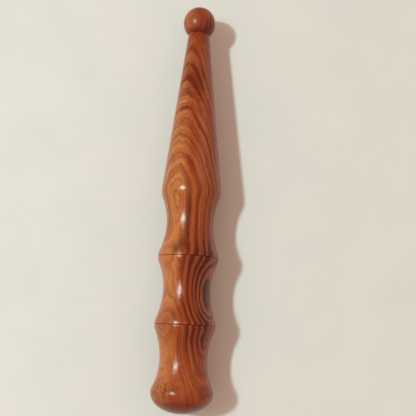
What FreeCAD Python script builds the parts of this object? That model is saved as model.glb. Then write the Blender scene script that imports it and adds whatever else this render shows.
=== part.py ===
"""Turned hardwood hand stick, lying on its side as it does on a table.

From the butt end the stick has a domed butt with a small sanded flat, a grip of three waists between
round swells, a long tapered shank and a ball at its tip. It is four turned pieces on one axis. Their
joints show as three fine lines: two at the crests between the waists and one under the ball. A blind
hole in each face of a joint holds a glued dowel pin, so the pins are sealed inside.

The frame: +Y runs along the axis from the butt to the ball, +Z is up and z = 0 is the table. The origin
is on the table under the middle of the stick. Stations are distances along the axis from the butt flat.
"""
import FreeCAD
import Part

import math
import os

# Driving dimensions, in millimetres.
LENGTH = 205.4
BUTT_RADIUS = 15.15
BUTT_STATION = 9.5
BUTT_FLAT_RADIUS = 4.4
BUTT_ROUNDING = 6.1
LOWER_CREST = 41.9
UPPER_CREST = 74.9
CREST_RADIUS = 14.9
CREST_ROUNDING = 7.0
SWELL_STATION = 108.1
SWELL_RADIUS = 14.85
SWELL_ROUNDING = 10.5
WAIST_RADIUS = 11.55
LOWER_WAIST = 24.85
MIDDLE_WAIST = 59.0
UPPER_WAIST = 91.6
NECK_STATION = 190.5
BALL_RADIUS = 8.2
BALL_HALF_LENGTH = 8.5
RIM_EASE = 0.35
NECK_EASE = 0.2

# Dowel pins: diameter and length as bought, and the hole that leaves room for glue.
GRIP_DOWEL_RADIUS = 4.0
GRIP_DOWEL_LENGTH = 25.0
BALL_DOWEL_RADIUS = 2.5
BALL_DOWEL_LENGTH = 18.0
BALL_DOWEL_IN_BALL = 8.0
DOWEL_CHAMFER = 0.7
DOWEL_FLUTES = 12
FLUTE_RADIUS = 0.35
GLUE_GAP = 0.05
HOLE_END_GAP = 0.75

# Worked out from the driving dimensions.
BALL_CENTRE = LENGTH - BALL_HALF_LENGTH
NECK_RADIUS = BALL_RADIUS * math.sqrt(1 - ((BALL_CENTRE - NECK_STATION) / BALL_HALF_LENGTH) ** 2)
DOME_HALF_LENGTH = BUTT_STATION / math.sqrt(1 - (BUTT_FLAT_RADIUS / BUTT_RADIUS) ** 2)
MIDDLE_STATION = LENGTH / 2
AXIS_HEIGHT = BUTT_RADIUS


def at(station, radius):
    """A point of a turned outline, in the plane that is revolved about the Y axis."""
    return FreeCAD.Vector(radius, station - MIDDLE_STATION, 0)


def line(start, end):
    """A straight edge of an outline."""
    return Part.LineSegment(at(*start), at(*end)).toShape()


def arc(start, middle, end):
    """A round edge of an outline through three points."""
    return Part.Arc(at(*start), at(*middle), at(*end)).toShape()


def swell_to_waist(swell, waist, rounding):
    """Two arcs that run from the top of a swell to the bottom of a waist.

    Both are level where they end and they share a tangent where they meet. The swell's own arc has the
    rounding as its radius, and the hollow's radius follows from the run and the drop between them.
    """
    run = abs(waist[0] - swell[0])
    drop = swell[1] - waist[1]
    way = math.copysign(1, waist[0] - swell[0])
    turn = 2 * math.atan2(drop, run)
    hollow = run / math.sin(turn) - rounding

    def on_swell(angle):
        return (
            swell[0] + way * rounding * math.sin(angle),
            swell[1] - rounding * (1 - math.cos(angle)),
        )

    def in_waist(angle):
        return (
            waist[0] - way * hollow * math.sin(angle),
            waist[1] + hollow * (1 - math.cos(angle)),
        )

    return [
        arc(swell, on_swell(turn / 2), on_swell(turn)),
        arc(on_swell(turn), in_waist(turn / 2), waist),
    ]


def eased_rim(station, radius, ease, way):
    """The rounded edge of a joint's face. way is +1 on the side towards the ball and -1 on the other.

    Returns the edge and the point where it has reached the full radius.
    """
    bend = ease * (1 - math.sqrt(0.5))
    face = (station, radius - ease)
    middle = (station + way * bend, radius - bend)
    full = (station + way * ease, radius)
    return arc(face, middle, full), full


def waisted(lower, lower_rounding, waist, upper, upper_rounding):
    """The four arcs from one swell through a waist to the next, in order along the axis."""
    down = swell_to_waist(lower, waist, lower_rounding)
    up = swell_to_waist(upper, waist, upper_rounding)
    return down + up[::-1]


def turned(edges, start, end):
    """A closed solid of revolution from outline edges, closed off square at its two end stations."""
    corners = [vertex.Point for edge in edges for vertex in edge.Vertexes]
    closing = [line((start, 0), (end, 0))]
    for station in (start, end):
        on_axis = at(station, 0)
        rim = min(corners, key=lambda corner: abs(corner.y - on_axis.y))
        if rim.x > 1e-6:
            closing.append(Part.LineSegment(on_axis, rim).toShape())
    outline = Part.Wire(Part.__sortEdges__(edges + closing))
    solid = Part.Face(outline).revolve(FreeCAD.Vector(0, 0, 0), FreeCAD.Vector(0, 1, 0), 360)
    solid.translate(FreeCAD.Vector(0, 0, AXIS_HEIGHT))
    return solid


def rod(start, end, radius):
    """A plain cylinder on the axis between two stations."""
    base = FreeCAD.Vector(0, start - MIDDLE_STATION, AXIS_HEIGHT)
    return Part.makeCylinder(radius, end - start, base, FreeCAD.Vector(0, 1, 0))


def dowel_hole(face, depth, radius, way):
    """The blind hole for a dowel pin, from a joint's face into the piece."""
    deep = depth + HOLE_END_GAP
    start, end = sorted((face, face + way * deep))
    return rod(start, end, radius + GLUE_GAP)


def dowel(start, length, radius):
    """A fluted dowel pin with chamfered ends, on the axis."""
    end = start + length
    outline = [
        line((start, radius - DOWEL_CHAMFER), (start + DOWEL_CHAMFER, radius)),
        line((start + DOWEL_CHAMFER, radius), (end - DOWEL_CHAMFER, radius)),
        line((end - DOWEL_CHAMFER, radius), (end, radius - DOWEL_CHAMFER)),
    ]
    pin = turned(outline, start, end)
    flutes = []
    for number in range(DOWEL_FLUTES):
        angle = 2 * math.pi * number / DOWEL_FLUTES
        flute = rod(start - 1, end + 1, FLUTE_RADIUS)
        flute.translate(FreeCAD.Vector(radius * math.cos(angle), 0, radius * math.sin(angle)))
        flutes.append(flute)
    return pin.cut(Part.makeCompound(flutes)).Solids[0]


def butt_grip():
    """The domed butt and the lower waist, up to the joint at the lower crest."""
    flat_rim = (0, BUTT_FLAT_RADIUS)
    widest = (BUTT_STATION, BUTT_RADIUS)
    dome = Part.Ellipse(
        at(BUTT_STATION, BUTT_RADIUS),
        at(BUTT_STATION - DOME_HALF_LENGTH, 0),
        at(BUTT_STATION, 0),
    )
    ends = sorted((dome.parameter(at(*flat_rim)), dome.parameter(at(*widest))))
    if ends[1] - ends[0] > math.pi:
        ends = [ends[1], ends[0] + 2 * math.pi]
    rim, full = eased_rim(LOWER_CREST, CREST_RADIUS, RIM_EASE, -1)
    waist = (LOWER_WAIST, WAIST_RADIUS)
    edges = [dome.toShape(*ends)]
    edges += waisted(widest, BUTT_ROUNDING, waist, full, CREST_ROUNDING)
    edges.append(rim)
    hole = dowel_hole(LOWER_CREST, GRIP_DOWEL_LENGTH / 2, GRIP_DOWEL_RADIUS, -1)
    return turned(edges, 0, LOWER_CREST).cut(hole)


def middle_grip():
    """The middle waist, between the joints at the two crests."""
    lower_rim, lower_full = eased_rim(LOWER_CREST, CREST_RADIUS, RIM_EASE, 1)
    upper_rim, upper_full = eased_rim(UPPER_CREST, CREST_RADIUS, RIM_EASE, -1)
    waist = (MIDDLE_WAIST, WAIST_RADIUS)
    edges = [lower_rim]
    edges += waisted(lower_full, CREST_ROUNDING, waist, upper_full, CREST_ROUNDING)
    edges.append(upper_rim)
    half = GRIP_DOWEL_LENGTH / 2
    lower_hole = dowel_hole(LOWER_CREST, half, GRIP_DOWEL_RADIUS, 1)
    upper_hole = dowel_hole(UPPER_CREST, half, GRIP_DOWEL_RADIUS, -1)
    return turned(edges, LOWER_CREST, UPPER_CREST).cut(lower_hole).cut(upper_hole)


def tapered_shank():
    """The upper waist, the round swell above it and the long straight taper to the neck under the ball."""
    rim, full = eased_rim(UPPER_CREST, CREST_RADIUS, RIM_EASE, 1)
    waist = (UPPER_WAIST, WAIST_RADIUS)
    swell = (SWELL_STATION, SWELL_RADIUS)
    neck_rim, neck = eased_rim(NECK_STATION, NECK_RADIUS, NECK_EASE, -1)

    # The taper is tangent to the arc of the swell. Its slope comes from the arc's centre and the neck.
    along = neck[0] - SWELL_STATION
    across = SWELL_RADIUS - SWELL_ROUNDING - neck[1]
    slope = math.asin(SWELL_ROUNDING / math.hypot(along, across)) + math.atan2(across, along)

    def on_swell(angle):
        return (
            SWELL_STATION + SWELL_ROUNDING * math.sin(angle),
            SWELL_RADIUS - SWELL_ROUNDING * (1 - math.cos(angle)),
        )

    edges = [rim]
    edges += waisted(full, CREST_ROUNDING, waist, swell, SWELL_ROUNDING)
    edges.append(arc(swell, on_swell(slope / 2), on_swell(slope)))
    edges.append(line(on_swell(slope), neck))
    edges.append(neck_rim)
    grip_hole = dowel_hole(UPPER_CREST, GRIP_DOWEL_LENGTH / 2, GRIP_DOWEL_RADIUS, 1)
    depth = BALL_DOWEL_LENGTH - BALL_DOWEL_IN_BALL
    ball_hole = dowel_hole(NECK_STATION, depth, BALL_DOWEL_RADIUS, -1)
    return turned(edges, UPPER_CREST, NECK_STATION).cut(grip_hole).cut(ball_hole)


def ball_tip():
    """The ball, a little longer than it is wide, with a flat seat on the neck."""
    ball = Part.Ellipse(at(LENGTH, 0), at(BALL_CENTRE, BALL_RADIUS), at(BALL_CENTRE, 0))
    seat = ball.parameter(at(NECK_STATION, NECK_RADIUS))
    pole = ball.parameter(at(LENGTH, 0))
    ends = sorted((seat, pole))
    if ends[1] - ends[0] > math.pi:
        ends = [ends[1], ends[0] + 2 * math.pi]
    hole = dowel_hole(NECK_STATION, BALL_DOWEL_IN_BALL, BALL_DOWEL_RADIUS, 1)
    return turned([ball.toShape(*ends)], NECK_STATION, LENGTH).cut(hole)


def build():
    """Every piece by its node name."""
    half = GRIP_DOWEL_LENGTH / 2
    ball_dowel_start = NECK_STATION + BALL_DOWEL_IN_BALL - BALL_DOWEL_LENGTH
    return {
        "butt_grip": butt_grip(),
        "middle_grip": middle_grip(),
        "tapered_shank": tapered_shank(),
        "ball_tip": ball_tip(),
        "lower_grip_dowel": dowel(LOWER_CREST - half, GRIP_DOWEL_LENGTH, GRIP_DOWEL_RADIUS),
        "upper_grip_dowel": dowel(UPPER_CREST - half, GRIP_DOWEL_LENGTH, GRIP_DOWEL_RADIUS),
        "ball_dowel": dowel(ball_dowel_start, BALL_DOWEL_LENGTH, BALL_DOWEL_RADIUS),
    }


os.makedirs("parts", exist_ok=True)
for name, shape in build().items():
    shape.exportStep(os.path.join("parts", name + ".step"))
    box = shape.optimalBoundingBox(False, False)
    print(
        f"{name}: {len(shape.Solids)} solid, valid {shape.isValid()}, {shape.Volume / 1000:.2f} cm3, "
        f"y {box.YMin:.2f} to {box.YMax:.2f}, z {box.ZMin:.2f} to {box.ZMax:.2f}"
    )
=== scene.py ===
# %% [markdown]
# # A turned wooden hand stick
# The stick is about 205 mm long and fits in one hand. It has a ball at its tip, a long taper, a grip of
# three waists between swells, and a domed butt. The CAD model fixes every size. This script makes the
# pieces that are seen, with a smooth skin and a striped, varnished wood, and it keeps the CAD's places.

# %% Load the frame
import math

import bpy
from mathutils import Matrix, Vector


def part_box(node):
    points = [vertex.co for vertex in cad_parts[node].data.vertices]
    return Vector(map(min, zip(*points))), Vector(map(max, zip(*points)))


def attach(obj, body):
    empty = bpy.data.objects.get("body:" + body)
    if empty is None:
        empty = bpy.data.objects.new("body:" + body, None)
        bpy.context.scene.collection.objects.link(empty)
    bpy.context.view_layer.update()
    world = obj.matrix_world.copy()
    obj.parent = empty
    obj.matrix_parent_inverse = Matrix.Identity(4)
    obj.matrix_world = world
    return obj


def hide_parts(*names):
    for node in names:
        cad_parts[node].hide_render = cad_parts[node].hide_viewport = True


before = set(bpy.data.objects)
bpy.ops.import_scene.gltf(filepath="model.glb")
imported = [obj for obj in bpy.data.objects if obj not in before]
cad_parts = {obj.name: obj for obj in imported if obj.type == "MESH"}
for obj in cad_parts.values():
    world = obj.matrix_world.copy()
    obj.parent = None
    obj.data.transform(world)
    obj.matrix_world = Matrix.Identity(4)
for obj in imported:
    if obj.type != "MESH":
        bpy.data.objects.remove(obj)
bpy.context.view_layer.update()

print("CAD nodes:", sorted(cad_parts))

# %% [markdown]
# ## Where the pieces meet
# The stick lies on its side, with its axis along Y. A position along the axis is a station: the distance
# from the flat on the butt. The CAD boxes give the joints' stations and the height of the axis, so the
# pieces made here meet where the CAD pieces meet.

# %% Stations from the CAD boxes
MM = 0.001
butt_low, butt_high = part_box("butt_grip")
shank_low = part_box("tapered_shank")[0]
ball_low, ball_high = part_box("ball_tip")
BUTT_END = butt_low.y
AXIS_HEIGHT = (butt_low.z + butt_high.z) / 2
LOWER_JOINT = (butt_high.y - BUTT_END) / MM
UPPER_JOINT = (shank_low.y - BUTT_END) / MM
NECK = (ball_low.y - BUTT_END) / MM
LENGTH = (ball_high.y - BUTT_END) / MM
BUTT_RADIUS = (butt_high.z - butt_low.z) / 2 / MM
BALL_RADIUS = (ball_high.z - ball_low.z) / 2 / MM
print(f"axis {AXIS_HEIGHT / MM:.2f} mm up, joints at {LOWER_JOINT:.1f}, {UPPER_JOINT:.1f} and {NECK:.1f} mm")

# %% [markdown]
# ## The outline
# A turner shapes the stick with a gouge, and every bump and hollow is close to a piece of a circle. So
# the outline is a chain of arcs. A swell's arc and a waist's arc share a tangent where they meet, which
# gives the smooth S between them. Points on the arcs could be typed in, but worked out from the radii
# they can be made as close together as the skin needs.

# %% Sizes of the swells and waists, in millimetres
BUTT_STATION, BUTT_FLAT, BUTT_ROUNDING = 9.5, 4.4, 6.1
CREST_RADIUS, CREST_ROUNDING = 14.9, 7.0
SWELL_STATION, SWELL_RADIUS, SWELL_ROUNDING = 108.1, 14.85, 10.5
WAIST_RADIUS = 11.55
LOWER_WAIST, MIDDLE_WAIST, UPPER_WAIST = 24.85, 59.0, 91.6
BALL_HALF_LENGTH = 8.5
RIM_EASE, NECK_EASE = 0.35, 0.2
ARC_STEPS = 10
BALL_CENTRE = LENGTH - BALL_HALF_LENGTH
NECK_RADIUS = BALL_RADIUS * math.sqrt(1 - ((BALL_CENTRE - NECK) / BALL_HALF_LENGTH) ** 2)
print(f"neck {2 * NECK_RADIUS:.2f} mm across, ball {2 * BALL_RADIUS:.2f} mm across")

# %% Arcs of the outline
def swell_to_waist(swell, waist, rounding):
    """Points from the top of a swell to the bottom of a waist along two arcs with a common tangent."""
    run, drop = abs(waist[0] - swell[0]), swell[1] - waist[1]
    way = math.copysign(1, waist[0] - swell[0])
    turn = 2 * math.atan2(drop, run)
    hollow = run / math.sin(turn) - rounding
    points = []
    for step in range(ARC_STEPS):
        angle = turn * step / ARC_STEPS
        points.append((swell[0] + way * rounding * math.sin(angle),
                       swell[1] - rounding * (1 - math.cos(angle))))
    for step in range(ARC_STEPS + 1):
        angle = turn * (1 - step / ARC_STEPS)
        points.append((waist[0] - way * hollow * math.sin(angle),
                       waist[1] + hollow * (1 - math.cos(angle))))
    return points


def waisted(lower, lower_rounding, waist, upper, upper_rounding):
    """Points from one swell through a waist to the next swell."""
    down = swell_to_waist(lower, waist, lower_rounding)
    up = swell_to_waist(upper, waist, upper_rounding)
    return down + up[-2::-1]


def eased_rim(station, radius, ease, way, steps=5):
    """Points of a joint's rounded edge, from its flat face to its full radius."""
    angles = [math.pi / 2 * step / steps for step in range(steps + 1)]
    return [(station + way * ease * (1 - math.cos(angle)), radius - ease * (1 - math.sin(angle)))
            for angle in angles]

# %% [markdown]
# ## Turning on the lathe
# Blender's Spin does what a lathe does. A single point is extruded along the half outline, from the axis
# out and back to the axis, and the line is spun round the axis. Building the pieces from cylinders would
# also work, but the hollows would need many rings resized one by one. The first and last points lie on
# the axis, so merging close points closes the ends.

# %% The lathe
TURNS = 144
MERGE_DISTANCE = 0.002 * MM
CREASE_ANGLE = math.radians(35)


def deselect():
    """Nothing is selected and the mode is object mode."""
    if bpy.context.object and bpy.context.object.mode != "OBJECT":
        bpy.ops.object.mode_set(mode="OBJECT")
    bpy.ops.object.select_all(action="DESELECT")


def turn(name, outline):
    """A piece turned from outline points, each a station and a radius in millimetres."""
    deselect()
    places = [Vector((radius * MM, BUTT_END + station * MM, AXIS_HEIGHT)) for station, radius in outline]
    bpy.ops.mesh.primitive_plane_add(size=MM, location=(0, 0, 0))
    piece = bpy.context.object
    piece.name = name
    bpy.ops.object.mode_set(mode="EDIT")
    bpy.ops.mesh.select_all(action="SELECT")
    bpy.ops.mesh.merge(type="CENTER")
    bpy.ops.transform.translate(value=places[0])
    for here, there in zip(places, places[1:]):
        bpy.ops.mesh.extrude_region_move(TRANSFORM_OT_translate={"value": there - here})
    bpy.ops.mesh.select_all(action="SELECT")
    bpy.ops.mesh.spin(steps=TURNS, angle=2 * math.pi, center=(0, 0, AXIS_HEIGHT), axis=(0, 1, 0))
    bpy.ops.mesh.select_all(action="SELECT")
    bpy.ops.mesh.remove_doubles(threshold=MERGE_DISTANCE)
    bpy.ops.mesh.normals_make_consistent(inside=False)
    bpy.ops.object.mode_set(mode="OBJECT")
    bpy.ops.object.shade_smooth_by_angle(angle=CREASE_ANGLE)
    size = piece.dimensions / MM
    print(f"{name}: {size.x:.2f} x {size.y:.2f} x {size.z:.2f} mm, {len(piece.data.polygons)} faces")
    return piece

# %% [markdown]
# ## Four turned pieces
# The stick was turned from one length of timber and has three joints. At a joint each piece has a flat
# face with a blind hole for a dowel pin. The edge of the face is eased with abrasive paper so that it
# doesn't chip, and two eased edges side by side make the fine dark groove that shows where a joint is.
# A Bevel modifier could ease the edges, but it would also catch the holes. Here the rounding is part of
# the outline.

# %% Sizes of the pin holes, in millimetres
GRIP_HOLE_RADIUS, GRIP_HOLE_DEPTH = 4.05, 13.25
BALL_HOLE_RADIUS = 2.55
SHANK_HOLE_DEPTH, BALL_HOLE_DEPTH = 10.75, 8.75
print(f"holes {2 * GRIP_HOLE_RADIUS:.1f} mm wide in the grip, {2 * BALL_HOLE_RADIUS:.1f} mm at the ball")

# %% [markdown]
# ### Butt grip
# The butt is a dome that fills the heel of the hand, and a waist for the little finger follows it. The
# dome is half an ellipse, cut off at a small flat where the lathe's centre held the wood. A UV sphere
# would need its poles turned and its side reshaped. Points on an ellipse need neither.

# %% Butt grip
dome_half = BUTT_STATION / math.sqrt(1 - (BUTT_FLAT / BUTT_RADIUS) ** 2)
flat_angle = math.acos(BUTT_FLAT / BUTT_RADIUS)
dome = []
for step in range(2 * ARC_STEPS):
    angle = flat_angle * (1 - step / (2 * ARC_STEPS))
    dome.append((BUTT_STATION - dome_half * math.sin(angle), BUTT_RADIUS * math.cos(angle)))
lower_rim = eased_rim(LOWER_JOINT, CREST_RADIUS, RIM_EASE, -1)
butt_outline = [(0, 0)] + dome
butt_outline += waisted((BUTT_STATION, BUTT_RADIUS), BUTT_ROUNDING, (LOWER_WAIST, WAIST_RADIUS),
                        lower_rim[-1], CREST_ROUNDING)
butt_outline += lower_rim[-2::-1]
butt_outline += [(LOWER_JOINT, GRIP_HOLE_RADIUS), (LOWER_JOINT - GRIP_HOLE_DEPTH, GRIP_HOLE_RADIUS),
                 (LOWER_JOINT - GRIP_HOLE_DEPTH, 0)]
butt = turn("turned_butt_grip", butt_outline)

# %% [markdown]
# ### Middle grip
# The middle piece is one waist between two crests, with a joint at each crest. Its two halves are mirror
# images, so a Mirror modifier would also do, but the outline is so short that it is simply written out.

# %% Middle grip
low_rim = eased_rim(LOWER_JOINT, CREST_RADIUS, RIM_EASE, 1)
high_rim = eased_rim(UPPER_JOINT, CREST_RADIUS, RIM_EASE, -1)
middle_outline = [(LOWER_JOINT + GRIP_HOLE_DEPTH, 0), (LOWER_JOINT + GRIP_HOLE_DEPTH, GRIP_HOLE_RADIUS),
                  (LOWER_JOINT, GRIP_HOLE_RADIUS)]
middle_outline += low_rim[:-1]
middle_outline += waisted(low_rim[-1], CREST_ROUNDING, (MIDDLE_WAIST, WAIST_RADIUS),
                          high_rim[-1], CREST_ROUNDING)
middle_outline += high_rim[-2::-1]
middle_outline += [(UPPER_JOINT, GRIP_HOLE_RADIUS), (UPPER_JOINT - GRIP_HOLE_DEPTH, GRIP_HOLE_RADIUS),
                   (UPPER_JOINT - GRIP_HOLE_DEPTH, 0)]
middle = turn("turned_middle_grip", middle_outline)

# %% [markdown]
# ### Tapered shank
# The longest piece has the upper waist, a round swell and a straight taper down to the neck. The taper
# leaves the swell's arc along its tangent, so there is no crease between them. The angle where that
# happens is worked out from the two ends. A cone resized to fit would leave a crease.

# %% Tapered shank
shank_rim = eased_rim(UPPER_JOINT, CREST_RADIUS, RIM_EASE, 1)
neck_rim = eased_rim(NECK, NECK_RADIUS, NECK_EASE, -1)
run = neck_rim[-1][0] - SWELL_STATION
drop = SWELL_RADIUS - SWELL_ROUNDING - neck_rim[-1][1]
slope = math.asin(SWELL_ROUNDING / math.hypot(run, drop)) + math.atan2(drop, run)
SWELL_STEPS, TAPER_STEPS = 4, 24
swell = []
for step in range(1, SWELL_STEPS + 1):
    angle = slope * step / SWELL_STEPS
    swell.append((SWELL_STATION + SWELL_ROUNDING * math.sin(angle),
                  SWELL_RADIUS - SWELL_ROUNDING * (1 - math.cos(angle))))
taper = [(swell[-1][0] + (neck_rim[-1][0] - swell[-1][0]) * step / TAPER_STEPS,
          swell[-1][1] + (neck_rim[-1][1] - swell[-1][1]) * step / TAPER_STEPS)
         for step in range(1, TAPER_STEPS)]
shank_outline = [(UPPER_JOINT + GRIP_HOLE_DEPTH, 0), (UPPER_JOINT + GRIP_HOLE_DEPTH, GRIP_HOLE_RADIUS),
                 (UPPER_JOINT, GRIP_HOLE_RADIUS)]
shank_outline += shank_rim[:-1]
shank_outline += waisted(shank_rim[-1], CREST_ROUNDING, (UPPER_WAIST, WAIST_RADIUS),
                         (SWELL_STATION, SWELL_RADIUS), SWELL_ROUNDING)
shank_outline += swell + taper + neck_rim[::-1]
shank_outline += [(NECK, BALL_HOLE_RADIUS), (NECK - SHANK_HOLE_DEPTH, BALL_HOLE_RADIUS),
                  (NECK - SHANK_HOLE_DEPTH, 0)]
shank = turn("turned_tapered_shank", shank_outline)

# %% [markdown]
# ### Ball tip
# The ball presses on a muscle without digging in. It is a very little longer than it is wide, and it is
# cut flat where it sits on the neck. The same lathe makes it, so its rings of faces run round the same
# axis as the rest and the highlight crosses the joint without a jump.

# %% Ball tip
seat_angle = math.asin((BALL_CENTRE - NECK) / BALL_HALF_LENGTH)
BALL_STEPS = 40
ball_outline = [(NECK + BALL_HOLE_DEPTH, 0), (NECK + BALL_HOLE_DEPTH, BALL_HOLE_RADIUS),
                (NECK, BALL_HOLE_RADIUS)]
for step in range(BALL_STEPS):
    angle = -seat_angle + (math.pi / 2 + seat_angle) * step / BALL_STEPS
    ball_outline.append((BALL_CENTRE + BALL_HALF_LENGTH * math.sin(angle), BALL_RADIUS * math.cos(angle)))
ball_outline.append((LENGTH, 0))
ball = turn("turned_ball_tip", ball_outline)

# %% [markdown]
# ## Shader sums
# A material here is mostly arithmetic on the position inside the wood. Placing Math nodes one by one is
# slow to write and hard to read, so a small class wraps a socket and turns Python sums into Math nodes.
# Every other node comes from one method of the bench, which takes the node's kind, its settings and the
# values or wires for its sockets.

# %% A socket that can be used in a sum
class Wire:
    """A socket's output that adds Math nodes when it is used in a sum."""

    def __init__(self, bench, socket):
        self.bench = bench
        self.socket = socket

    def math(self, operation, *others):
        return self.bench.add("ShaderNodeMath", {"operation": operation}, *others)

    def __add__(self, other): return self.math("ADD", self, other)
    def __radd__(self, other): return self.math("ADD", other, self)
    def __sub__(self, other): return self.math("SUBTRACT", self, other)
    def __rsub__(self, other): return self.math("SUBTRACT", other, self)
    def __mul__(self, other): return self.math("MULTIPLY", self, other)
    def __rmul__(self, other): return self.math("MULTIPLY", other, self)
    def __truediv__(self, other): return self.math("DIVIDE", self, other)
    def __rtruediv__(self, other): return self.math("DIVIDE", other, self)
    def __neg__(self): return self.math("MULTIPLY", self, -1)
    def sin(self): return self.math("SINE", self)
    def cos(self): return self.math("COSINE", self)
    def exp(self): return self.math("EXPONENT", self)
    def fraction(self): return self.math("FRACT", self)
    def below(self, limit): return self.math("LESS_THAN", self, limit)
    def least(self, limit): return self.math("MINIMUM", self, limit)


print("sums that a wire knows:", sorted(name.strip("_") for name in vars(Wire) if name != "__init__"))

# %% The bench where materials are made
class Bench:
    """A material's node tree, with one method that adds any node."""

    def __init__(self, name):
        self.material = bpy.data.materials.new(name)
        self.material.use_nodes = True
        self.tree = self.material.node_tree
        self.tree.nodes.clear()

    def add(self, kind, settings=None, *values, out=0, at=None, **named):
        """Adds a node, sets it up, fills its sockets in order, by number or by name; gives an output."""
        node = self.tree.nodes.new(kind)
        for name, value in (settings or {}).items():
            if name == "stops":
                ramp = node.color_ramp
                while len(ramp.elements) > 1:
                    ramp.elements.remove(ramp.elements[-1])
                ramp.elements[0].position = value[0][0]
                ramp.elements[0].color = (*value[0][1], 1)
                for position, colour in value[1:]:
                    ramp.elements.new(position).color = (*colour, 1)
            else:
                setattr(node, name, value)
        pairs = list(enumerate(values)) + list((at or {}).items())
        pairs += [(name.replace("_", " "), value) for name, value in named.items()]
        for key, value in pairs:
            socket = node.inputs[key]
            if isinstance(value, Wire):
                self.tree.links.new(value.socket, socket)
            else:
                socket.default_value = value
        return Wire(self, node.outputs[out])

    def coordinates(self, out):
        """The three numbers of one of the Texture Coordinate node's outputs."""
        vector = self.add("ShaderNodeTexCoord", out=out)
        node = self.add("ShaderNodeSeparateXYZ", None, vector).socket.node
        return [Wire(self, output) for output in node.outputs]

    def blend(self, amount, under, over, way="MIX"):
        """One colour laid over another by an amount."""
        return self.add("ShaderNodeMix", {"data_type": "RGBA", "blend_type": way}, amount, out=2,
                        at={6: under, 7: over})

    def level(self, value, *stops):
        """A number read off a chain of straight lines through (input, output) stops, input from 0 to 1."""
        return self.add("ShaderNodeValToRGB", {"stops": [(at, (grey,) * 3) for at, grey in stops]}, value)

    def grain(self, across, along, up, scale, detail=2.0, roughness=0.5):
        """Smooth noise from 0 to 1 at a place inside the wood, in millimetres."""
        place = self.add("ShaderNodeCombineXYZ", None, across, along, up)
        return self.add("ShaderNodeTexNoise", None, Vector=place, Scale=scale, Detail=detail,
                        Roughness=roughness)

    def ripple(self, value, scale, detail=0.0, roughness=0.5):
        """Smooth noise from 0 to 1 along a single number."""
        return self.add("ShaderNodeTexNoise", {"noise_dimensions": "1D"}, W=value, Scale=scale,
                        Detail=detail, Roughness=roughness)

    def finish(self, shader):
        """Sends a shader to the material's output."""
        output = self.tree.nodes.new("ShaderNodeOutputMaterial")
        self.tree.links.new(shader.socket, output.inputs["Surface"])
        print(f"{self.material.name}: {len(self.tree.nodes)} nodes")
        return self.material


OBJECT_PLACE, NORMAL = 3, 1

# %% [markdown]
# ## Rosewood: one length of timber
# The pieces came out of one length of striped rosewood, so the stripes run on from piece to piece. A flat
# picture wrapped round the stick would stretch at the ball and show a seam. Here the timber is solid: each
# point asks where it lies inside the timber, and the turned shape cuts through the stripes as a gouge
# does. The glued pieces were turned about 5 degrees against each other, so the timber is twisted there.
# A lump is a smooth hill in the timber, for a knot, a swirl or a stain.

# %% A point's place in the timber
wood = Bench("varnished_rosewood")
x, y, z = wood.coordinates(OBJECT_PLACE)
station = (y - BUTT_END) / MM
side, height = x / MM, (z - AXIS_HEIGHT) / MM
MIDDLE_TWIST, BUTT_TWIST = 5, 5.5
twist = (station.below(UPPER_JOINT) * math.radians(MIDDLE_TWIST)
         + station.below(LOWER_JOINT) * math.radians(BUTT_TWIST))
across = side * twist.cos() + height * twist.sin()
up = height * twist.cos() - side * twist.sin()


def lump(at, length, width):
    """A smooth hill in the timber: 1 at its middle, 0 far away; at is station, across and up."""
    along, sideways, upwards = station - at[0], across - at[1], up - at[2]
    far = along * along / length ** 2 + (sideways * sideways + upwards * upwards) / width ** 2
    return (-far).exp()


print(f"the middle grip is twisted {MIDDLE_TWIST} degrees, the butt {MIDDLE_TWIST + BUTT_TWIST}")

# %% [markdown]
# ### Growth rings
# A tree grows a ring a year. Cut nearly along the ring, the surface shows nested arches; cut near a knot,
# it shows an eye of closed rings. So the ring number is a smooth field: a tilted, slightly bent plane gives
# the arches of the taper, and hills added to it push the rings round the dark eye of the middle waist
# and the faint knot at the lower joint. A Wave texture with distortion also gives arches, but nobody can
# choose where they go. A little noise keeps the rings from looking drawn.
#
# These numbers weren't all chosen by hand. The plane's, and those of every swirl but the last, came from a
# separate fitting program that was given lines traced by hand along the real stick. To make another
# stick, start from the plane alone and add one swirl at a time.

# %% Growth rings
PLANE_STATION, PLANE_RING = 100, 15.05
LEAN_ACROSS, LEAN_ACROSS_CHANGE = 0.31, -0.00195
LEAN_UP, LEAN_UP_CHANGE = 0.538, 0.00574
LEAN_ALONG, LEAN_ALONG_CHANGE = 0.166, 0.0005
from_middle = station - PLANE_STATION
ring = (across * (from_middle * LEAN_ACROSS_CHANGE - LEAN_ACROSS)
        + up * (from_middle * LEAN_UP_CHANGE + LEAN_UP)
        - from_middle * (from_middle * LEAN_ALONG_CHANGE + LEAN_ALONG) - PLANE_RING)
SWIRLS = {
    "eye of the middle waist": ((48.8, 8.7, 4.8), 29, 7.7, -10.5),
    "rings above the eye": ((62.5, 8.9, 18.3), 20.5, 10.5, -4.7),
    "bend on the left of the butt": ((31.4, -27, -6), 20, 14, -16.2),
    "arch in the upper waist": ((104.3, -5.1, 9.1), 15.6, 5.1, 3.25),
    "arch of the taper": ((160.2, 2.2, 7.7), 30, 11.2, -2.6),
    "hollow at the upper joint": ((74, -6.5, 12.8), 8, 6, -1.4),
}
for at, length, width, push in SWIRLS.values():
    ring = ring + lump(at, length, width) * push
KNOT_PUSH, SLOW_WAVER, QUICK_WAVER = 4.2, 1.6, 0.7
RING_SPAN = 30
knot = lump((41.9, -8.4, 12.3), 8, 6)
slow = wood.grain(across, station * 0.3, up, 0.16)
quick = wood.grain(across, station * 0.2, up, 0.55)
ring = ring + knot * KNOT_PUSH + (slow - 0.5) * SLOW_WAVER + (quick - 0.5) * QUICK_WAVER
shade = (ring + RING_SPAN) / RING_SPAN
print("swirls in the rings:", ", ".join(SWIRLS))

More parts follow.
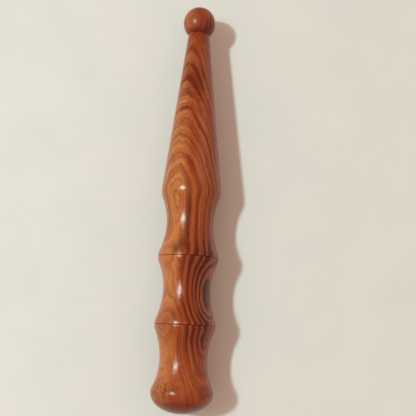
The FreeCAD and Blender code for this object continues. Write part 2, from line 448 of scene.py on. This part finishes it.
# %% [markdown]
# ### Dark lines
# In rosewood the late wood of a ring is a dark line with one soft side. A Color Ramp on the fraction of
# the ring number draws it once per ring, and slow noise along the ring number makes the years uneven.
# How dark the lines are also changes with the ring, along the stick and in patches. The stains are dark
# resin that has spread along the lines, most of it round the eye.

# %% Dark lines
SPACING, FIRST_LINE, UNEVEN_YEARS = 2.33, 7.5, 0.8
turn_of_ring = (ring + FIRST_LINE) / SPACING + (wood.ripple(ring, 0.3, 1.0) - 0.5) * UNEVEN_YEARS
band = wood.level((turn_of_ring + 0.5).fraction(), (0, 0), (0.16, 0.1), (0.34, 0.62), (0.46, 1), (0.56, 1),
                  (0.7, 0.6), (0.88, 0.12), (1, 0))
fine = wood.ripple(ring, 1.9, 3.0, 0.65)
broad = wood.ripple(ring + slow * 3, 0.55, 1.0)
patchy = wood.grain(across, station * 0.12, up, 0.3)
depth = wood.level(shade, (0.05, 0.45), (0.2, 0.8), (0.3, 0.9), (0.36, 0.8), (0.45, 0.9), (0.62, 0.8),
                   (0.72, 0.9), (0.77, 1), (0.81, 0.15), (0.86, 0.05))
part = station / LENGTH
depth = depth * wood.level(part, (0.08, 0.3), (0.17, 0.8), (0.22, 1), (0.38, 1), (0.45, 0.8), (0.55, 0.68),
                           (0.8, 1), (0.95, 0.9))
depth = depth * wood.level(patchy, (0.3, 0.45), (0.65, 1)) * wood.level(broad, (0.35, 1), (0.6, 0.55))
depth = depth * (1 + lump((54, 8, 8), 16, 7) * 0.2 + wood.level(across / 20, (0.12, 0), (0.45, 0.6))
                 + lump((98, 2, 12), 12, 8) * 0.3 + wood.level(part, (0.7, 0), (0.8, 0.35))) + knot * 0.3
print(f"dark lines {SPACING} ring units apart")

# %% Stains along the lines
STAINS = {
    "upper joint, right": ((71, 8, 12), 10, 7, 0.9),
    "left of the eye": ((56.5, 10.6, 5), 6, 4.5, 1.1),
    "the eye": ((61.5, 11.3, 2.5), 5, 3.5, 0.35),
    "lower joint, right": ((45, 8.5, 11), 6, 4, 0.5),
    "lower waist, right": ((36, 9, 11), 8, 5, 0.8),
    "swirl at the upper joint": ((79.5, -4.7, 13.3), 4, 2.6, 1.5),
    "chevron of the taper": ((164, -0.5, 8.5), 6, 4.5, 1.15),
    "below the chevron": ((159, 1.5, 9.3), 5, 3, 0.5),
    "above the chevron": ((180, -1.5, 7), 10, 3, 0.35),
    "upper waist": ((92, 0, 12), 14, 2.6, 0.45),
    "upper joint, middle": ((74, 1.5, 13), 7, 3.5, 0.3),
    "middle waist": ((59, 2.4, 11.3), 10, 2.6, 0.4),
    "lower waist, middle": ((36, 2, 12.5), 14, 3.2, 0.35),
    "lower joint, left": ((48, -3.5, 12.5), 4, 2.5, 0.5),
    "ball": ((193, 5.5, 4.5), 5, 5, 1.3),
    "taper, left": ((176, -8, 3.5), 20, 4.5, 0.35),
    "neck, right": ((185, 7.5, 2), 18, 4, 0.35),
    "butt": ((7, 1, 13.5), 3.5, 9, 0.25),
}
stains = 0
for at, length, width, strength in STAINS.values():
    stains = lump(at, length, width) * strength + stains
chips = wood.grain(across, station * 0.7, up, 0.8, 3.0)
chips = wood.level(chips, (0.48, 0), (0.58, 1)) * lump((11, -8, 11), 4, 9)
dark = band * depth + stains * (band * 0.6 + 0.35) + chips * 0.7
print("stains:", len(STAINS))

# %% [markdown]
# ### Colours of the wood
# Between the lines the wood goes from straw to a deep orange red. Its tone follows the rings, as sap and
# heart wood do, and it is lighter on the left, towards the bark, and redder along the middle and at both
# ends. Round the eye the wood is a pinkish brown. Mixing two colours by one number keeps every tone in
# between on the same scale, and Multiply layers then only darken, like a stain.

# %% Colours between the lines
tone = wood.level(shade, (0.05, 0.4), (0.2, 0.35), (0.26, 0.15), (0.36, 0.3), (0.5, 0.4), (0.6, 0.36),
                  (0.7, 0.32), (0.76, 0.32), (0.8, 0.42), (0.86, 0.46))
bark_side = wood.level(across / -20, (0.05, 0), (0.3, 0.5), (0.5, 0.42))
middle_streak = (-(across * across) / 10).exp() * 0.14
richer_grip = lump((56, 5, 10), 30, 8) * 0.22
on_taper = wood.level(part, (0.54, 0), (0.64, 1))
tone = (tone + (broad - 0.5) * (on_taper * 0.6 + 0.9) + bark_side - middle_streak - richer_grip).least(1.0)
DEEP_ORANGE, STRAW = (0.455, 0.062, 0.004, 1), (0.71, 0.275, 0.092, 1)
PINKISH_BROWN = (0.50, 0.25, 0.17, 1)
FINE_LINE_TINT, RED_TINT, KNOT_TINT = (0.62, 0.48, 0.4, 1), (0.72, 0.5, 0.45, 1), (0.85, 0.62, 0.6, 1)
body = wood.blend(tone, DEEP_ORANGE, STRAW)
body = wood.blend(wood.level(fine, (0.35, 0), (0.65, 1.0)), body, FINE_LINE_TINT, "MULTIPLY")
redder = wood.level(part, (0.02, 0.95), (0.045, 0.7), (0.07, 0.25), (0.15, 0.25), (0.22, 0.3), (0.3, 0),
                    (0.8, 0), (0.9, 0.5))
body = wood.blend(redder, body, RED_TINT, "MULTIPLY")
pinkish = wood.level(across / 20, (0.08, 0), (0.25, 0.25), (0.45, 0.05))
pinkish = pinkish * wood.level(part, (0.5, 0), (0.58, 1)) + lump((58, 10.5, 6.5), 22, 5) * 0.35
body = wood.blend(pinkish, body, PINKISH_BROWN)
body = wood.blend(knot * 0.6, body, KNOT_TINT, "MULTIPLY")
print("colours between the lines: deep orange", DEEP_ORANGE[:3], "to straw", STRAW[:3])

# %% [markdown]
# ### Lines, end grain, fibres and pores
# The lines are laid over the body, and they are redder on the taper. End grain, where the surface faces
# along the stick, drinks varnish and goes dark red. It is found from the normal, so it is the same from
# every side. Fibres are noise stretched far along the stick. The lower right, turned away from the lamps,
# is darker and redder: this is painted shade. Pores are the darkest specks of a finer noise, cut off by a
# ramp.

# %% Lines, end grain, fibres and pores
RED_BLACK, BROWN_BLACK, DEEP_RED = (0.10, 0.008, 0.003, 1), (0.08, 0.022, 0.014, 1), (0.17, 0.018, 0.007, 1)
END_GRAIN_TINT, FIBRE_TINT = (0.55, 0.18, 0.11, 1), (0.55, 0.42, 0.36, 1)
# The first tint on the next line is painted shade for the lower right, away from the lamps; the second is
# for the pores.
PAINTED_SHADE_TINT, PORE_TINT = (0.94, 0.68, 0.44, 1), (0.35, 0.22, 0.18, 1)
line = wood.blend(pinkish, RED_BLACK, BROWN_BLACK)
line = wood.blend(on_taper * 0.8, line, DEEP_RED)
colour = wood.blend((dark * (1 + on_taper * 0.15)).least(1.0), body, line)
facing_end = wood.coordinates(NORMAL)[1]
end_grain = wood.level(facing_end * facing_end, (0.16, 0), (0.4, 0.7), (0.9, 1))
colour = wood.blend(end_grain, colour, END_GRAIN_TINT, "MULTIPLY")
fibre = wood.grain(across, station * 0.05, up, 3.2, 3.0, 0.6)
colour = wood.blend(wood.level(fibre, (0.4, 0.5), (0.6, 0)), colour, FIBRE_TINT, "MULTIPLY")
# Painted shade: the lower right, turned away from the lamps, is multiplied to a darker, redder tone.
shaded_side_darkening = wood.level((side - height * 0.6) / 20, (0.05, 0), (0.45, 1))
colour = wood.blend(shaded_side_darkening, colour, PAINTED_SHADE_TINT, "MULTIPLY")
pore = wood.level(wood.grain(across, station * 0.07, up, 4.5, 1.0), (0.64, 0), (0.74, 1))
colour = wood.blend(pore * 0.6, colour, PORE_TINT, "MULTIPLY")
print("layers of the wood's colour:", sum(node.bl_idname == "ShaderNodeMix" for node in wood.tree.nodes))

# %% [markdown]
# ### Thin varnish
# The stick is sanded while it spins and then gets a thin coat of varnish. The paper leaves ridges round
# the stick, a few hundredths of a millimetre wide, and they draw a lamp's reflection out along the stick
# into a long streak. The Anisotropic socket gives that too, but it follows the world's Z axis and the
# stick lies along Y. So the ridges are really there, as fine noise along the stick in a Bump node, and a
# second Bump node adds the open pores. A Coat layer would ignore both, so the gloss is the wood's own
# specular layer, kept weak. Hands wear the varnish unevenly, most at the ball and the butt, and the
# roughness shows it.

# %% Thin varnish
RIDGES_PER_MM, RIDGE_HEIGHT, PORE_DEPTH, GLOSS = 12.0, 0.0107 * MM, 0.08 * MM, 0.36
ridges = wood.add("ShaderNodeBump", None, Strength=1.0, Distance=RIDGE_HEIGHT,
                  Height=wood.ripple(station, RIDGES_PER_MM))
relief = wood.add("ShaderNodeBump", None, Strength=0.35, Distance=PORE_DEPTH,
                  Height=1 - pore + fibre * 0.15, Normal=ridges)
worn = wood.grain(across, station, up, 0.09, 2.0)
rubbed = wood.level(part, (0.03, 0.08), (0.07, 0), (0.91, 0), (0.94, 0.13))
varnish = wood.add("ShaderNodeBsdfPrincipled", None, Base_Color=colour, Specular_IOR_Level=GLOSS,
                   Roughness=wood.level(worn, (0.3, 0.125), (0.7, 0.165)) + rubbed, Normal=relief)
rosewood = wood.finish(varnish)

# %% [markdown]
# ## Dowel pins
# The pins inside the joints are bought beech dowels with glue flutes. Their shape comes from the CAD.
# Beech is pale, with fine streaks and short brown flecks along the grain, and a pin has no varnish, so it
# is dull. One stretched noise gives the streaks and the relief, and a shorter one, cut off by a ramp,
# gives the flecks.

# %% Bare dowel wood
pin_wood = Bench("bare_dowel_wood")
x, y, z = pin_wood.coordinates(OBJECT_PLACE)
DARK_BEECH, PALE_BEECH, FLECK_TINT = (0.56, 0.36, 0.19, 1), (0.70, 0.50, 0.30, 1), (0.62, 0.5, 0.42, 1)
streak = pin_wood.grain(x / MM, y / MM * 0.06, z / MM, 1.6, 3.0, 0.6)
fleck = pin_wood.level(pin_wood.grain(x / MM, y / MM * 0.3, z / MM, 2.6, 1.0), (0.6, 0), (0.68, 1))
beech = pin_wood.blend(pin_wood.level(streak, (0.35, 0), (0.65, 1)), DARK_BEECH, PALE_BEECH)
beech = pin_wood.blend(fleck * 0.6, beech, FLECK_TINT, "MULTIPLY")
fibres = pin_wood.add("ShaderNodeBump", None, Strength=0.4, Distance=0.1 * MM, Height=streak)
bare = pin_wood.add("ShaderNodeBsdfPrincipled", None, Base_Color=beech, Specular_IOR_Level=0.3,
                    Roughness=pin_wood.level(streak, (0.3, 0.72), (0.7, 0.6)), Normal=fibres)
dowel_wood = pin_wood.finish(bare)

# %% [markdown]
# ## Hand the pieces over
# Each turned piece takes the place of its CAD node. Nothing on the stick moves, so all pieces ride on the
# root. The pins keep their CAD meshes and only get their wood.

# %% Pieces and their materials
for piece, node in ((butt, "butt_grip"), (middle, "middle_grip"), (shank, "tapered_shank"),
                    (ball, "ball_tip")):
    piece.data.materials.clear()
    piece.data.materials.append(rosewood)
    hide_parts(node)
    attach(piece, "root")
for node in ("lower_grip_dowel", "upper_grip_dowel", "ball_dowel"):
    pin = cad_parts[node]
    pin.data.materials.clear()
    pin.data.materials.append(dowel_wood)
print("turned pieces:", ", ".join(piece.name for piece in (butt, middle, shank, ball)))

# %% [markdown]
# ## Table
# The stick lies on a pale laminate table. A single colour looks like no material at all, so two very near
# greys are mixed by a wide, soft noise, as on a wiped surface. The table is stage dressing and not part
# of the object.

# %% Pale table
TABLE_SIZE = 30
DULL_GREY, PALE_GREY = (0.735, 0.755, 0.785, 1), (0.77, 0.78, 0.81, 1)
deselect()
bpy.ops.mesh.primitive_plane_add(size=TABLE_SIZE, location=(0, 0, 0))
table = bpy.context.object
table.name = "pale_table"
laminate = Bench("pale_laminate")
x, y, z = laminate.coordinates(OBJECT_PLACE)
cloud = laminate.grain(x / MM, y / MM, z / MM, 0.03, 3.0, 0.6)
grey = laminate.blend(laminate.level(cloud, (0.35, 0), (0.65, 1)), DULL_GREY, PALE_GREY)
table_top = laminate.add("ShaderNodeBsdfPrincipled", None, Base_Color=grey, Roughness=0.6)
table.data.materials.append(laminate.finish(table_top))

# %% [markdown]
# ## Light
# The light comes from the upper left, so the shadow falls to the right. A small lamp gives the shadow a
# clear scalloped edge. A long narrow lamp in the same place, along the stick, stretches the highlights in
# the waists. The room's light is warm and fills the shadow, and the lamps are a little cool, so that
# the table is neutral where both reach it.

# %% Lamps and room light
LAMP_DISTANCE, LAMP_COLOUR = 2.0, (0.72, 0.965, 0.90)
ROOM_COLOUR, ROOM_STRENGTH = (1.0, 0.685, 0.50, 1), 0.613
FROM_LEFT, TOWARDS_BALL = math.radians(33), math.radians(4)
direction = Vector((-math.sin(FROM_LEFT), math.tan(TOWARDS_BALL), math.cos(FROM_LEFT))).normalized()
for name, wide, long, power in (("strip_lamp", 0.08, 1.0, 6.5), ("round_lamp", 0.14, 0.14, 18.5)):
    bpy.ops.object.light_add(type="AREA", location=(0, 0, 0))
    lamp = bpy.context.object
    lamp.name = name
    lamp.data.shape = "ELLIPSE"
    lamp.data.size = long
    lamp.data.size_y = wide
    lamp.data.energy = power
    lamp.data.color = LAMP_COLOUR
    lamp.location = direction * LAMP_DISTANCE + Vector((0, 0, AXIS_HEIGHT))
    lamp.rotation_euler = direction.to_track_quat("Z", "Y").to_euler()
    print(f"{name}: {power} W, {long} x {wide} m")
room = bpy.data.worlds.new("room_light")
bpy.context.scene.world = room
room.use_nodes = True
background = room.node_tree.nodes["Background"]
background.inputs["Color"].default_value = ROOM_COLOUR
background.inputs["Strength"].default_value = ROOM_STRENGTH
bpy.context.scene.view_settings.view_transform = "Standard"

# %% [markdown]
# ## Camera
# The camera looks down on the stick from a little beyond the butt, at arm's length. Close by, the butt
# looks larger than the far end, so the distance matters as much as the lens. The camera is placed by
# turning about the point it looks at and then stepping back, which is easier to adjust than a position
# and three angles.

# %% Camera
DISTANCE, TILT, ROLL = 0.39, math.radians(9.27), math.radians(2.58)
AIM_SIDE, AIM_STATION = 8.7 * MM, 100.24 * MM
SENSOR_WIDTH, LENS = 36, 67.5
aim = Vector((AIM_SIDE, BUTT_END + AIM_STATION, AXIS_HEIGHT))
bpy.ops.object.camera_add()
camera = bpy.context.object
camera.name = "view_from_above"
camera.data.sensor_width = SENSOR_WIDTH
camera.data.lens = LENS
camera.data.clip_start = 0.01
turned_view = Matrix.Rotation(TILT, 4, "X") @ Matrix.Rotation(ROLL, 4, "Z")
camera.matrix_world = Matrix.Translation(aim) @ turned_view @ Matrix.Translation((0, 0, DISTANCE))
bpy.context.scene.camera = camera
print(f"camera {DISTANCE / MM:.0f} mm from the stick, lens {camera.data.lens} mm")
